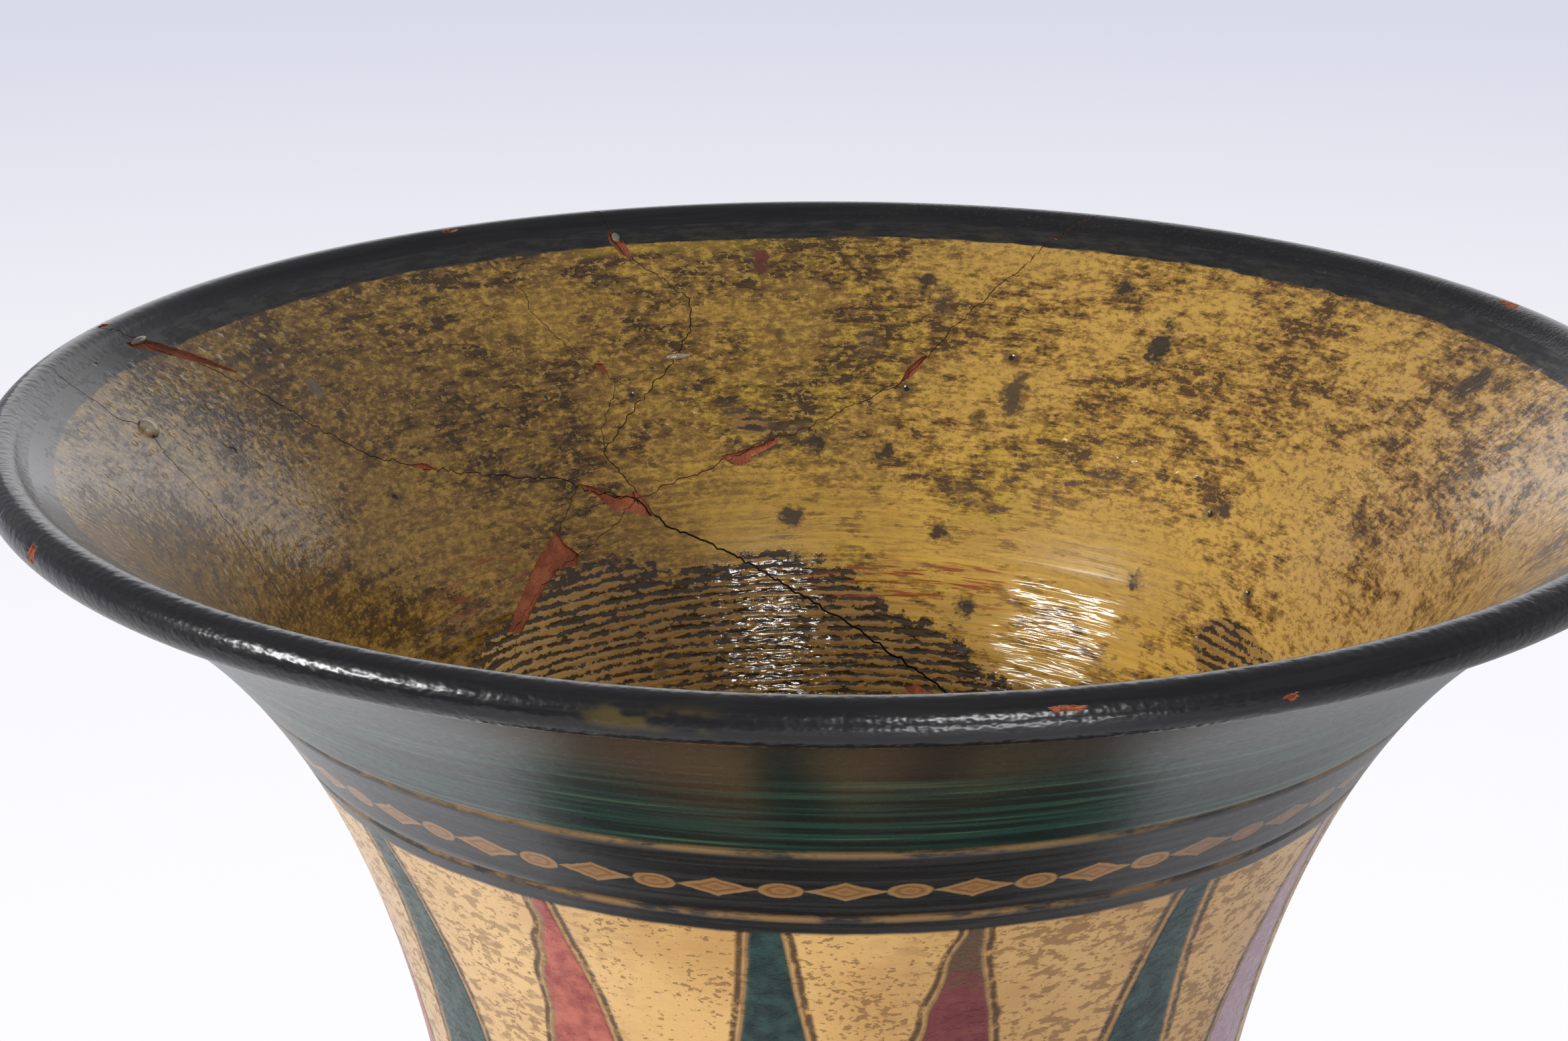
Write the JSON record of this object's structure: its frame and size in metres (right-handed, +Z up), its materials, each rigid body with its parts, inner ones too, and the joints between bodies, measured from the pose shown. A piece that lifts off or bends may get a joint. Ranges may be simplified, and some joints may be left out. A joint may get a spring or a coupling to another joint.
{
  "type": "urn vase",
  "caption": "Bell-mouthed painted terracotta urn vase on a pedestal foot, with a mended mouth, for holding stems or standing as an ornament.",
  "frame": {"origin": "centre of the foot ring on the surface the vase stands on", "axes": "+Z up along the vessel's turning axis, -Y towards the side that is shown to the viewer"},
  "size_m": [0.232, 0.232, 0.42],
  "materials": {
    "painted_mouth": "black lip, dark green outside and mottled mustard slip inside, satin, worn",
    "painted_neck": "cream slip with red and green leaves in brown outline, satin, speckled",
    "painted_body": "cream slip with painted bands and leaves, satin, speckled",
    "painted_foot": "black and green slip over terracotta, worn at the edge",
    "glue": "hardened clear mending glue, glossy"
  },
  "bodies": {
    "root": {"foot": "painted_foot", "bowl": "painted_body", "shoulder": "painted_body", "neck": "painted_neck", "mouth_wall": "painted_mouth", "sherd_left": "painted_mouth", "sherd_back_left": "painted_mouth", "sherd_back": "painted_mouth", "sherd_throat": "painted_mouth", "glue_bead_left": "glue", "glue_bead_left_rim": "glue", "glue_bead_back_rim": "glue", "glue_smear_back": "glue"}
  },
  "joints": []
}
